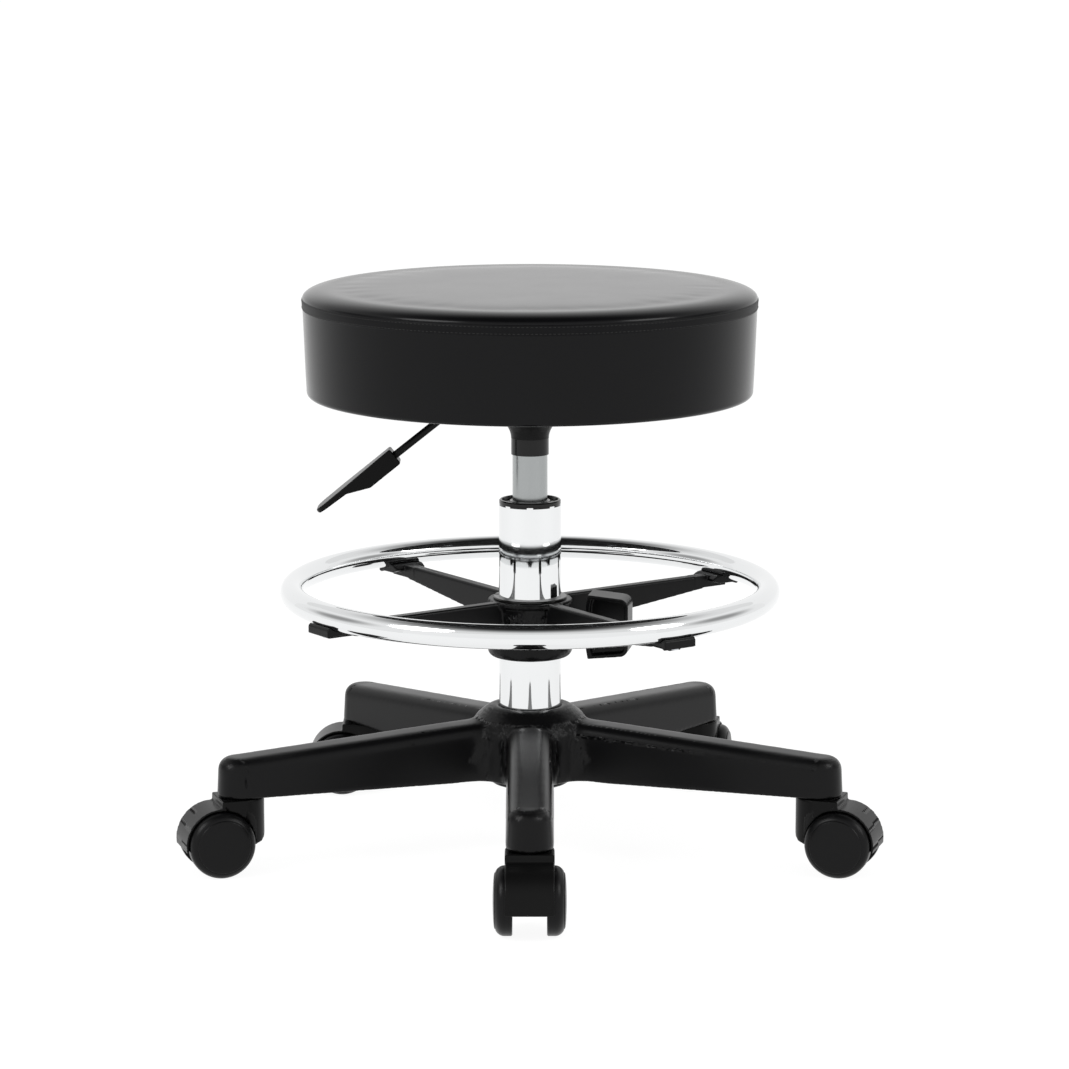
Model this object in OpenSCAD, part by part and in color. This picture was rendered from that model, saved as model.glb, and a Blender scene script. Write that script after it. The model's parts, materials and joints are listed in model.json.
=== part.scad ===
// Swivel stool with a gas lift: a round padded seat, a chrome column, a foot ring that clamps on
// the column, and a five-armed base on twin-wheel casters.
// The origin is on the floor under the column, +Z is up, and the front arm points along -Y.

/* [Seat] */
// Diameter of the seat over its upper seam
seat_d = 361; // [340:1:400]
// Diameter of the seat round its lower edge
seat_low_d = 355; // [330:1:380]
// Thickness of the foam above the board
foam_t = 71.4; // [50:0.2:100]
// Thickness of the leather cover
leather_t = 1.2; // [0.8:0.1:2]
// Width of the soft shoulder round the top
shoulder_w = 20; // [12:1:30]
// Height of the soft shoulder round the top
shoulder_h = 8; // [5:0.5:14]
// Radius where the leather turns in under the board
hem_round = 4; // [3:0.5:7]
// Width of the leather turned in under the board
hem_w = 26; // [18:1:40]
// Width of the dust cloth that lies over the turned-in leather
cloth_lap = 14; // [8:1:16]
// Thickness of the dust cloth
cloth_t = 0.8; // [0.4:0.1:1.2]
// Thickness of the plywood board
board_t = 12; // [9:0.5:18]

/* [Seat plate] */
// Side of the square steel plate under the board
plate_w = 150; // [140:1:180]
// Thickness of the plate's sheet steel
plate_t = 2.5; // [2:0.5:3]
// Corner radius of the plate
plate_round = 12; // [6:1:20]
// Distance between the plate's bolts
bolt_pitch = 122; // [116:1:126]
// Diameter of the plate's bolts
bolt_d = 6; // [5:0.5:8]
// Diameter of the pressed dish where it leaves the plate
dish_d = 126; // [122:1:130]
// Diameter of the dish's floor
dish_floor_d = 92; // [88:1:100]
// Depth of the dish, measured from the plate's top
dish_h = 18.6; // [17:0.2:22]

/* [Gas lift] */
// Diameter of the outer column
column_d = 50; // [46:1:54]
// Length of the outer column
column_l = 230; // [200:1:260]
// Wall of the outer column
column_wall = 1.5; // [1:0.1:2]
// How far the column stands out below the base
column_proud = 9.5; // [7.5:0.5:14]
// Length of the column's taper in the base
taper_l = 58; // [40:1:70]
// How much narrower the column is at its lower end
taper_d = 2.8; // [1.5:0.1:4]
// Diameter of the pressure tube
tube_d = 28; // [26:0.5:30]
// Wall of the pressure tube
tube_wall = 1.5; // [1.2:0.1:2]
// Length of tube that shows at the lowest setting
tube_gap = 36.5; // [20:0.5:60]
// How far the seat rises
lift_travel = 120; // [80:1:125]
// Length of the guide bush inside the column
bush_l = 74; // [50:1:80]
// Height of the black cap on the column
cap_h = 4.5; // [3:0.5:8]
// Diameter of the piston rod
rod_d = 10; // [8:0.5:11]
// Height of the sleeve below the socket cone
sleeve_h = 13; // [8:0.5:20]
// Wall of the sleeve below the socket cone
sleeve_wall = 1.1; // [0.8:0.1:2]
// Height of the socket cone
cone_h = 17; // [12:0.5:24]
// Diameter of the socket cone where it meets the dish
cone_d = 50; // [42:1:60]
// Diameter of the release pin
pin_d = 8; // [6:0.5:9]

/* [Lever] */
// Diameter of the bent lever rod
lever_d = 6; // [5:0.5:7]
// Distance from the column axis to the lever's pivot
lever_arm = 34; // [30:1:36]
// Distance from the column axis to the bend in the lever
lever_bend = 58; // [56:1:66]
// Angle by which the lever drops after the bend
lever_drop = 38.5; // [30:0.5:45]
// Length of bare rod between the bend and the handle
lever_reach = 63; // [50:1:80]
// Length of the handle
handle_l = 77; // [60:1:90]
// Thickness of the handle where the rod enters
handle_h = 14.5; // [11:0.5:18]
// Width of the handle's blade
handle_w = 28; // [20:1:36]
// Thickness of the blade at its end
blade_t = 4; // [3:0.5:6]

/* [Foot ring] */
// Diameter of the ring, measured over the outside of its tube
ring_d = 401; // [370:1:430]
// Diameter of the ring's tube
ring_tube_d = 19; // [16:0.5:22]
// Wall of the ring's tube
ring_wall = 1.2; // [0.8:0.1:2]
// Height of the ring's centreline above the floor
ring_z = 213; // [210:0.2:224]
// How far below the ring's centreline the top of the hub lies
hub_below = 7; // [5:0.5:9]
// Height of the hub
hub_h = 47; // [44:1:49]
// Diameter of the hub's collars
hub_d = 68; // [64:1:76]
// Diameter of the hub's waist
hub_waist_d = 62; // [58:1:63]
// Wall of the split sleeve between the hub and the column
split_wall = 2.4; // [1.5:0.1:3]
// Width across the top of a spoke
spoke_w = 10; // [8:0.5:13]
// Wall of a spoke
spoke_wall = 2.6; // [2:0.1:3.5]
// Depth of a spoke at the hub
spoke_root_h = 26; // [20:0.5:30]
// Depth of a spoke at the ring
spoke_end_h = 10; // [9:0.5:12]
// Length of the saddle round the ring
saddle_w = 29; // [24:1:40]
// Depth of the saddle below the ring's tube
saddle_drop = 8.5; // [8:0.5:12]
// Diameter of the saddle screws
saddle_screw_d = 4.5; // [4:0.5:5]

/* [Clamp knob] */
// Direction of the clamp knob, seen from above
knob_az = -10; // [-30:1:10]
// Distance from the column axis to the knob
knob_start = 47.5; // [46:0.5:56]
// Length of the knob along its screw
knob_l = 34; // [26:1:44]
// Length of the knob's wings from tip to tip
knob_h = 52; // [44:1:58]
// Width of the knob
knob_w = 26; // [20:1:30]
// Rim that borders the knob's hollow sides
knob_rim = 3; // [2:0.5:4]
// Web between the knob's hollow sides
knob_web = 12; // [11:1:16]
// Diameter of the clamp screw
clamp_d = 8; // [6:0.5:9]

/* [Base] */
// Distance from the column axis to a caster's stem
arm_reach = 241; // [220:1:270]
// Width of an arm at its upper shoulders
arm_w = 34.6; // [32:0.2:40]
// Height of the arms at the column
arm_root_h = 50.5; // [46:0.5:54]
// Height of the arms over the casters
arm_tip_h = 31.5; // [30:0.5:36]
// Radius of the arms' upper edges
arm_round = 10; // [6:0.5:12]
// Draft of the arms' sides in degrees
arm_draft = 3; // [1:0.5:4]
// Wall of the hollow arms
arm_wall = 4; // [3:0.5:5]
// Thickness of the ribs under the arms
rib_t = 2.5; // [2:0.5:4]
// Height of the base's hub
base_hub_h = 57.5; // [56.5:0.5:64]
// Radius of the rim round the column
rim_r = 27.5; // [27.5:0.5:30]
// Radius in plan where one arm runs into the next
web_round = 23; // [15:1:30]
// Wall round the column inside the base
socket_wall = 6; // [4:0.5:8]

/* [Casters] */
// Diameter of a wheel
wheel_d = 52.8; // [48:0.4:56]
// Thickness of a wheel
wheel_t = 14.7; // [13:0.1:17]
// Distance between the two wheels of a caster
wheel_space = 26; // [24:1:32]
// Distance from a caster's stem to its axle
trail = 19.4; // [16:0.2:24]
// Wall of the hood over the wheels
hood_t = 1.6; // [1.4:0.1:2.6]
// Width of the hood and of the neck under the arm
hood_w = 37.5; // [35:0.5:40]
// Height of the neck above the hood
neck_h = 5.8; // [4:0.2:10]
// Diameter of the stem in the arm
stem_d = 11; // [9:0.5:12]
// Length of the stem in the arm
stem_l = 22; // [16:1:24]
// Diameter of the stem in the housing
stem_low_d = 8; // [6:0.5:8]
// Diameter of the axle
axle_d = 8; // [6:0.5:10]

/* [Fits] */
// Radial clearance of a running fit
run = 0.05; // [0.02:0.01:0.1]
// Open gap between parts that pass each other
gap = 0.5; // [0.4:0.1:0.8]

/* [Hidden] */
$fn = 64;
smooth = 32;      // fragments on the small round parts
arms = 5;
arm_step = 360 / arms;
front_a = -90;    // direction of the first arm
rest_turn = [0, 0, 26, 54, 0];   // how far each caster is turned from straight out, at rest
spokes = 4;
spoke_a = 35;     // direction of the first spoke
eps = 0.01;
far = 500;        // size of a cutting block

// Heights, from the floor up
wheel_r = wheel_d / 2;
wheel_gap = 0.8;
hood_r = wheel_r + wheel_gap + hood_t;
neck_z = wheel_r + hood_r + neck_h;
base_z = neck_z + gap;
column_z = base_z - column_proud;
column_top = column_z + column_l;
cap_z = column_top + cap_h;
sleeve_z = cap_z + tube_gap;
cone_z = sleeve_z + sleeve_h;
dish_z = cone_z + cone_h;
plate_top = dish_z + dish_h;
board_z = plate_top + cloth_t;
foam_z = board_z + board_t;
seat_z = foam_z + foam_t + leather_t;

// Seat
seat_r = seat_d / 2;
low_r = seat_low_d / 2;
hem_z = board_z - leather_t;
hem_r = low_r - hem_w;
turn_z = hem_z + hem_round;
seam_z = seat_z - shoulder_h;
nut_flange_d = 19;
nut_flange_t = 1.2;
nut_wall = 1.2;
bolt_head_d = 11;
bolt_head_h = 4;
bolt_slack = 0.3;

// Gas lift
column_r = column_d / 2;
bore_r = column_r - column_wall;
foot_r = column_r - taper_d / 2;
taper_z = column_z + taper_l;
floor_z = column_z + 4;           // underside of the column's end plate
floor_t = 4;
bearing_z = floor_z + floor_t;
washer_t = 1.5;
ball_d = 4;
balls = 10;
rod_r = rod_d / 2;
bearing_r = rod_r + 7.5;
ball_ring_r = rod_r + 4;
rod_shoulder_z = bearing_z + 2 * washer_t + ball_d;
rod_shoulder_h = 2.5;
tube_r = tube_d / 2;
tube_bore_r = tube_r - tube_wall;
tube_z = rod_shoulder_z + rod_shoulder_h + gap;
guide_h = 20;
piston_h = 12;
piston_z = tube_z + guide_h + lift_travel + 3;
nut_h = 5;
tube_taper = 0.8;
tube_top = dish_z + 1;
top_wall = 3;
valve_h = 30;
valve_z = tube_top - top_wall - valve_h;
pin_r = pin_d / 2;
pin_travel = 4;
clip_w = 1.2;
clip_z = floor_z - 0.2 - clip_w;
clip_r = rod_r + 3;
rod_end_z = clip_z - 1.5;
groove = 1;                       // depth of the clips' grooves
tabs = 8;
tab_w = 5;
tab_h = 1.2;
tab_t = 0.7;

// Lever
lever_r = lever_d / 2;
dish_top = dish_z + plate_t;      // upper face of the dish's floor
lever_z = dish_top + 6;
pin_top = lever_z - lever_r - 0.3;
bend_r = 10;
bend_len = bend_r * tan(lever_drop / 2);
pivot_d = 4;
eye_r = 4.5;
eye_w = 8;
lug_t = 2;
lug_gap = 0.3;
strap_t = 1;
handle_grip = 30;                 // length of rod inside the handle
handle_neck = 31;                 // length of the thick part of the handle
handle_slope = 18;                // length over which it thins down to the blade
handle_root_w = 18;

// Foot ring
ring_tube_r = ring_tube_d / 2;
ring_r = ring_d / 2 - ring_tube_r;
hub_top = ring_z - hub_below;
hub_z = hub_top - hub_h;
split_r = column_r + run + split_wall;
split_lip = 2;
split_cut = 3;
hub_bore_r = split_r + run;
hub_r = hub_d / 2;
waist_r = hub_waist_d / 2;
collar_h = 14;
hub_round = 6;
flange_h = 3;
spoke_draft = 1.5;                // how much each side of a spoke widens downwards
saddle_in = ring_r - 15;
saddle_out = ring_r + 8;
saddle_z = ring_z - ring_tube_r - saddle_drop;
saddle_top = ring_z - 5.5;
screw_head_d = 9;
screw_head_h = 3;
screw_bed = 4.5;                  // depth of the recess for the screw's head
slot_w = 4;
clamp_z = hub_z + 27;
boss_r = 10;
insert_r = clamp_d / 2 + 2.5;
insert_l = 9;
pad_l = 4;
pad_gap = 0.4;
knob_boss_r = 9;

// Base
arm_tilt = atan((arm_root_h - arm_tip_h) / arm_reach);
half_w = arm_w / 2;
half_arm = arm_step / 2;
foot_w = half_w + (arm_tip_h - arm_round) * tan(arm_draft);
mid_w = half_w + (arm_root_h - arm_round) / 2 * tan(arm_draft);
web_centre = (mid_w + web_round) / sin(half_arm);
web_edge = (mid_w + web_round) / tan(half_arm);
web_r = web_centre - web_round;
hub_rise = 16;                    // radius of the hub's upper curve
stem_r = stem_d / 2;
stem_low_r = stem_low_d / 2;
stem_low_l = 22;
rib_cells = 9;                    // cells between the ribs under an arm
trim = 10;                        // depth cut off below the arms to leave one flat underside

// Casters
axle_r = axle_d / 2;
axle_in = 11;                     // length of axle inside each wheel
neck_r = hood_w / 2;
side_gap = 0.8;
heel_r = 8;
heel_z = wheel_r - 1;
skirt_z = 22;                     // lower edge of the hood on its outer side
web_z = 19;                       // lower edge of the housing between the wheels

// ---- Small helpers ----

function arc(x, y, r, from, to, n = 8) =
    [for (i = [0:n]) let (a = from + (to - from) * i / n) [x + r * cos(a), y + r * sin(a)]];

function shoulder(r, z, w, h, n = 10) =
    [for (i = [0:n]) let (a = 90 * i / n) [r - w + w * cos(a), z + h * sin(a)]];

function arm_a(k) = front_a + arm_step * (k - 1);

// A ring with its lower face at z
module ring(z, h, r_out, r_in) {
    translate([0, 0, z]) difference() {
        cylinder(h = h, r = r_out);
        translate([0, 0, -eps]) cylinder(h = h + 2 * eps, r = r_in);
    }
}

module rounded_square(w, r) {
    square([w, w - 2 * r], center = true);
    square([w - 2 * r, w], center = true);
    for (x = [-1, 1], y = [-1, 1]) translate([x, y] * (w / 2 - r)) circle(r = r);
}

module at_bolts() {
    for (x = [-1, 1], y = [-1, 1]) translate([x, y, 0] * bolt_pitch / 2) children();
}

// Moves to caster k, with +X along its trail
module at_caster(k) {
    rotate([0, 0, arm_a(k)]) translate([arm_reach, 0, 0]) rotate([0, 0, rest_turn[k - 1]]) children();
}

// ---- Seat ----

// Side of the seat at height z, between the turned-in edge and the seam
function side_r(z) = low_r + (seat_r - low_r) * (z - turn_z) / (seam_z - turn_z);

module seat_cover() {
    outer = concat(arc(low_r - hem_round, turn_z, hem_round, -90, 0, 6),
                   shoulder(seat_r, seam_z, shoulder_w, shoulder_h), [[0, seat_z]]);
    lining = shoulder(seat_r - leather_t, seam_z, shoulder_w - leather_t, shoulder_h - leather_t);
    inner = concat([[0, seat_z - leather_t]], [for (i = [10:-1:0]) lining[i]],
                   arc(low_r - hem_round, turn_z, hem_round - leather_t, 0, -90, 6));
    color([0.09, 0.09, 0.1]) rotate_extrude($fn = 96)
        polygon(concat([[hem_r, hem_z]], outer, inner, [[hem_r, board_z]]));
}

module seat_foam() {
    top = shoulder(seat_r - leather_t, seam_z, shoulder_w - leather_t, shoulder_h - leather_t);
    color([0.86, 0.83, 0.7]) rotate_extrude($fn = 96)
        polygon(concat([[0, foam_z], [side_r(foam_z) - leather_t, foam_z]], top, [[0, seat_z - leather_t]]));
}

module seat_board() {
    edge = arc(low_r - hem_round, turn_z, hem_round - leather_t, -90, 0, 6);
    color([0.72, 0.56, 0.36]) difference() {
        rotate_extrude($fn = 96)
            polygon(concat([[0, board_z]], edge, [[side_r(foam_z) - leather_t, foam_z], [0, foam_z]]));
        at_bolts() {
            translate([0, 0, board_z - 1]) cylinder(h = board_t + 2, r = bolt_d / 2 + nut_wall);
            translate([0, 0, foam_z - nut_flange_t]) cylinder(h = nut_flange_t + 1, d = nut_flange_d);
        }
    }
}

module dust_cloth() {
    cloth_z = board_z - cloth_t;
    step_r = hem_r - cloth_t;
    color([0.13, 0.13, 0.13]) difference() {
        rotate_extrude($fn = 96)
            polygon([[0, cloth_z], [step_r, cloth_z], [step_r, hem_z - cloth_t],
                     [hem_r + cloth_lap, hem_z - cloth_t], [hem_r + cloth_lap, hem_z],
                     [hem_r, hem_z], [hem_r, board_z], [0, board_z]]);
        at_bolts() translate([0, 0, cloth_z - 1]) cylinder(h = cloth_t + 2, r = bolt_d / 2 + bolt_slack);
    }
}

module tee_nuts() {
    color([0.75, 0.75, 0.72]) at_bolts() {
        ring(board_z + 1, board_t - nut_flange_t - 1 + eps, bolt_d / 2 + nut_wall, bolt_d / 2);
        ring(foam_z - nut_flange_t, nut_flange_t, nut_flange_d / 2, bolt_d / 2);
    }
}

module plate_bolts() {
    under = plate_top - plate_t;
    color([0.6, 0.6, 0.62]) at_bolts() {
        translate([0, 0, under - bolt_head_h]) cylinder(h = bolt_head_h, d = bolt_head_d, $fn = 6);
        translate([0, 0, under - eps]) cylinder(h = plate_t + cloth_t + board_t - 1, d = bolt_d);
    }
}

// ---- Seat plate, pressed from one sheet ----

module seat_plate() {
    lip = 1.5;
    wall = plate_t * 1.25;        // the sloping wall, measured level
    dish_r = dish_d / 2;
    floor_r = dish_floor_d / 2;
    low = -dish_h;
    color([0.14, 0.14, 0.15]) translate([0, 0, plate_top]) difference() {
        union() {
            translate([0, 0, -plate_t]) linear_extrude(plate_t) difference() {
                rounded_square(plate_w, plate_round);
                circle(r = dish_r);
            }
            rotate_extrude()
                polygon([[dish_r + lip, 0], [dish_r + lip, -plate_t], [dish_r, -plate_t], [floor_r, low],
                         [neck_in(), low], [neck_in(), low + plate_t], [floor_r - wall / 2, low + plate_t],
                         [dish_r - wall, 0]]);
        }
        at_bolts() translate([0, 0, -plate_t - 1]) cylinder(h = plate_t + 2, r = bolt_d / 2 + bolt_slack);
        translate([-dish_r - lip, -lever_r - 2, low + plate_t])
            cube([dish_r, lever_d + 4, dish_h - 2 * plate_t]);
    }
}

// Radius of the cone's neck, which stands in the dish's floor
function neck_in() = tube_r + 3;

// Radius of the tube's taper at height z above the cone's foot
function taper_at(z) = tube_r - tube_taper * (z - cone_z) / (tube_top - cone_z);

module socket_cone() {
    flare = [for (i = [0:8]) let (t = i / 8)
        [tube_r + sleeve_wall + (cone_d / 2 - tube_r - sleeve_wall) * t * t, cone_z + cone_h * t]];
    color([0.1, 0.1, 0.11]) rotate_extrude()
        polygon(concat([[tube_r, cone_z]], flare,
                       [[neck_in(), dish_z], [neck_in(), tube_top], [taper_at(tube_top), tube_top]]));
}

module tube_sleeve() {
    color([0.06, 0.06, 0.06]) ring(sleeve_z, sleeve_h, tube_r + sleeve_wall, tube_r);
}

// ---- Gas lift ----

module outer_column() {
    color([0.85, 0.86, 0.87]) {
        difference() {
            rotate_extrude()
                polygon([[0, floor_z], [foot_r - column_wall, floor_z], [foot_r - column_wall, column_z],
                         [foot_r, column_z], [column_r, taper_z], [column_r, column_top],
                         [bore_r, column_top], [bore_r, taper_z], [foot_r - column_wall, bearing_z],
                         [0, bearing_z]]);
            translate([0, 0, floor_z - 1]) cylinder(h = floor_t + 2, r = rod_r + run);
        }
        // Tabs of the rim that are bent up round the cap
        intersection() {
            ring(column_top - eps, tab_h, column_r, column_r - tab_t);
            for (k = [0:tabs - 1]) rotate([0, 0, 360 / tabs * k])
                translate([0, -tab_w / 2, column_top - 1]) cube([column_d, tab_w, tab_h + 2]);
        }
    }
}

module guide_bush() {
    in = tube_r + run;
    seat = column_r - tab_t;
    top = column_r - 0.3;
    well = 2.2;                   // depth of the well in the cap
    relief = 1.5;                 // groove between the bush's two bearing bands
    low = column_top - bush_l;
    color([0.05, 0.05, 0.05]) rotate_extrude()
        polygon([[in, low], [bore_r, low], [bore_r, low + 15], [bore_r - relief, low + 17],
                 [bore_r - relief, column_top - 17], [bore_r, column_top - 15], [bore_r, column_top],
                 [seat, column_top], [seat, column_top + tab_h + 0.2], [top, column_top + tab_h + 0.4],
                 [top, cap_z - 0.8], [top - 0.8, cap_z], [top - 2, cap_z], [top - 2.6, cap_z - well],
                 [in + 3, cap_z - well], [in + 2, cap_z - 1], [in, cap_z - 1]]);
}

module bearing_lower_washer() {
    color("silver") ring(bearing_z, washer_t, bearing_r, rod_r + 0.3);
}

module bearing_upper_washer() {
    color("silver") ring(bearing_z + washer_t + ball_d, washer_t, bearing_r, rod_r);
}

module bearing_balls() {
    color("gainsboro") for (k = [0:balls - 1]) rotate([0, 0, 360 / balls * k])
        translate([ball_ring_r, 0, bearing_z + washer_t + ball_d / 2]) sphere(d = ball_d, $fn = 24);
}

module piston_rod() {
    top = piston_z + piston_h + nut_h + 1;
    stub_r = rod_r - 1.5;
    color([0.8, 0.8, 0.82]) rotate_extrude()
        polygon([[0, rod_end_z], [rod_r - 0.5, rod_end_z], [rod_r, rod_end_z + 0.5], [rod_r, clip_z],
                 [rod_r - groove, clip_z], [rod_r - groove, clip_z + clip_w], [rod_r, clip_z + clip_w],
                 [rod_r, rod_shoulder_z], [rod_r + 3, rod_shoulder_z],
                 [rod_r + 3, rod_shoulder_z + rod_shoulder_h], [rod_r, rod_shoulder_z + rod_shoulder_h],
                 [rod_r, piston_z], [stub_r, piston_z], [stub_r, top], [0, top]]);
}

module piston() {
    r = tube_bore_r - run;
    mid = piston_z + piston_h / 2;
    color([0.4, 0.4, 0.42]) rotate_extrude()
        polygon([[rod_r - 1.5, piston_z], [r - 0.5, piston_z], [r, piston_z + 0.5], [r, mid - 1.5],
                 [r - 1.5, mid - 1.5], [r - 1.5, mid + 1.5], [r, mid + 1.5], [r, piston_z + piston_h],
                 [rod_r - 1.5, piston_z + piston_h]]);
}

module piston_nut() {
    color([0.6, 0.6, 0.62]) translate([0, 0, piston_z + piston_h]) difference() {
        cylinder(h = nut_h, d = rod_d + 3, $fn = 6);
        translate([0, 0, -eps]) cylinder(h = nut_h + 1, r = rod_r - 1.5, $fn = smooth);
    }
}

module retaining_clip() {
    color([0.3, 0.3, 0.32]) difference() {
        ring(clip_z, clip_w, clip_r, rod_r - groove);
        translate([0, -rod_r / 2, clip_z - 1]) cube([clip_r + 1, rod_r, clip_w + 2]);
    }
}

module pressure_tube() {
    color([0.66, 0.68, 0.69]) rotate_extrude()
        polygon([[tube_bore_r, tube_z], [tube_r, tube_z], [tube_r, cone_z], [taper_at(tube_top), tube_top],
                 [pin_r + run, tube_top], [pin_r + run, tube_top - top_wall],
                 [tube_bore_r - tube_taper, tube_top - top_wall], [tube_bore_r - tube_taper, cone_z],
                 [tube_bore_r, cone_z - 2]]);
}

module rod_guide() {
    color([0.2, 0.2, 0.22]) ring(tube_z + 0.5, guide_h - 1, tube_bore_r, rod_r + run);
}

module valve_body() {
    r = tube_bore_r - tube_taper;
    color("goldenrod") difference() {
        translate([0, 0, valve_z]) cylinder(h = valve_h, r = r);
        translate([0, 0, valve_z + 2]) cylinder(h = valve_h, r = pin_r + run);
    }
}

module release_pin() {
    low = valve_z + 2 + pin_travel + 1;
    color([0.75, 0.75, 0.77]) rotate_extrude($fn = smooth)
        polygon([[0, low], [pin_r, low], [pin_r, pin_top - 1], [pin_r - 2, pin_top], [0, pin_top]]);
}

// ---- Lever ----

module lever_bracket() {
    inner = eye_w / 2 + lug_gap;
    reach = eye_r + 1;
    color([0.2, 0.2, 0.21]) translate([-lever_arm, 0, 0]) difference() {
        union() {
            for (side = [-1, 1]) translate([0, side * (inner + lug_t / 2), lever_z]) rotate([90, 0, 0])
                linear_extrude(lug_t, center = true) {
                    circle(r = eye_r, $fn = smooth);
                    translate([-eye_r, dish_top - lever_z]) square([2 * eye_r, lever_z - dish_top]);
                }
            translate([-reach, -inner - eps, dish_top]) cube([2 * reach, 2 * (inner + eps), strap_t]);
        }
        translate([0, 0, lever_z]) rotate([90, 0, 0])
            cylinder(h = far, d = pivot_d, center = true, $fn = smooth);
    }
}

module lever_pivot_pin() {
    span = eye_w / 2 + lug_gap + lug_t;
    color([0.75, 0.75, 0.77]) translate([-lever_arm, 0, lever_z]) rotate([90, 0, 0]) {
        cylinder(h = 2 * span, d = pivot_d, center = true, $fn = smooth);
        for (side = [-1, 1]) translate([0, 0, side * (span + 0.5)])
            cylinder(h = 1 + eps, d = pivot_d + 2, center = true, $fn = smooth);
    }
}

// Moves to the bend, with +Z along the dropping rod and +X towards its upper side
module along_lever() {
    x = -lever_bend + bend_len - bend_r * sin(lever_drop);
    z = lever_z - bend_r + bend_r * cos(lever_drop);
    translate([x, 0, z]) rotate([0, -90 - lever_drop, 0]) children();
}

module lever_rod() {
    start = pin_r - 1;
    flat = start + lever_bend - bend_len;
    lap = 1;                      // how far each straight runs into the bend
    swell = 0.1;
    color([0.08, 0.08, 0.08]) difference() {
        union() {
            translate([start, 0, lever_z]) rotate([0, -90, 0])
                cylinder(h = flat + lap, r = lever_r, $fn = smooth);
            translate([-lever_bend + bend_len, 0, lever_z - bend_r]) rotate([90, 0, 0]) rotate([0, 0, 90])
                rotate_extrude(angle = lever_drop) translate([bend_r, 0])
                    circle(r = lever_r + swell, $fn = smooth);
            along_lever() translate([0, 0, -lap])
                cylinder(h = lever_reach - bend_len + handle_grip + lap, r = lever_r, $fn = smooth);
            translate([-lever_arm, 0, lever_z]) rotate([90, 0, 0])
                cylinder(h = eye_w, r = eye_r, center = true, $fn = smooth);
        }
        translate([-lever_arm, 0, lever_z]) rotate([90, 0, 0])
            cylinder(h = eye_w + 2, r = pivot_d / 2 + run, center = true, $fn = smooth);
    }
}

module lever_handle() {
    root = handle_h / 2;
    top_end = root - 1.5;
    half_t = blade_t / 2;
    side = concat([[-root, 1], [-root + 1, 0], [root - 1, 0], [root, 1]],
                  arc(top_end - half_t, handle_l - half_t, half_t, 0, 180, 8),
                  [[top_end - blade_t - 0.8, handle_neck + handle_slope], [-root, handle_neck]]);
    half_root = handle_root_w / 2;
    half_blade = handle_w / 2;
    end_r = half_blade - 4;
    plan = concat([[-half_root, -1], [half_root, -1], [half_root + 1, handle_neck / 2],
                   [half_blade, handle_neck + handle_slope]],
                  arc(half_blade - end_r, handle_l - end_r, end_r, 0, 90),
                  arc(end_r - half_blade, handle_l - end_r, end_r, 90, 180),
                  [[-half_blade, handle_neck + handle_slope], [-half_root - 1, handle_neck / 2]]);
    color([0.07, 0.07, 0.07]) along_lever() translate([0, 0, lever_reach - bend_len]) difference() {
        intersection() {
            rotate([90, 0, 0]) linear_extrude(handle_w + 2, center = true) polygon(side);
            rotate([90, 0, 90]) linear_extrude(handle_h + 2, center = true) polygon(plan);
        }
        translate([0, 0, -1]) cylinder(h = handle_grip + 1, r = lever_r, $fn = smooth);
    }
}

// ---- Foot ring ----

module at_spokes() {
    for (k = [0:spokes - 1]) rotate([0, 0, spoke_a + 360 / spokes * k]) children();
}

module foot_ring() {
    color([0.85, 0.86, 0.87]) difference() {
        translate([0, 0, ring_z]) rotate_extrude($fn = 128) translate([ring_r, 0]) difference() {
            circle(r = ring_tube_r, $fn = smooth);
            circle(r = ring_tube_r - ring_wall, $fn = smooth);
        }
        at_spokes() translate([ring_r, 0, ring_z - ring_tube_d])
            cylinder(h = ring_tube_d, d = saddle_screw_d, $fn = smooth);
    }
}

module saddle_screws() {
    seat = saddle_z + screw_bed;
    color([0.3, 0.3, 0.32]) at_spokes() translate([ring_r, 0, 0]) {
        translate([0, 0, seat - screw_head_h]) cylinder(h = screw_head_h, d = screw_head_d, $fn = smooth);
        translate([0, 0, seat - eps]) cylinder(h = ring_z - seat - 2, d = saddle_screw_d, $fn = smooth);
    }
}

// Cross-section of a spoke, an upside-down channel that widens downwards
module spoke_section(inset, depth) {
    top = spoke_w / 2 - inset;
    foot = top + spoke_draft * depth / spoke_root_h;
    edge = 1.2;
    polygon([[-foot, -depth], [-top, -inset - edge], [-top + edge, -inset], [top - edge, -inset],
             [top, -inset - edge], [foot, -depth]]);
}

module spoke_bar(inset, depth, from, to) {
    translate([from, 0, hub_top]) rotate([90, 0, 90]) linear_extrude(to - from)
        spoke_section(inset, depth);
}

module spoke() {
    root = hub_bore_r + 2;
    intersection() {
        difference() {
            spoke_bar(0, spoke_root_h, root, saddle_in + 2);
            spoke_bar(spoke_wall, spoke_root_h + 1, waist_r, saddle_in);
        }
        // The lower edge rises from the hub to the ring
        translate([0, spoke_w, 0]) rotate([90, 0, 0]) linear_extrude(2 * spoke_w)
            polygon([[0, hub_top - spoke_root_h], [waist_r, hub_top - spoke_root_h],
                     [saddle_in, hub_top - spoke_end_h], [far, hub_top - spoke_end_h],
                     [far, hub_top + 1], [0, hub_top + 1]]);
    }
}

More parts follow.
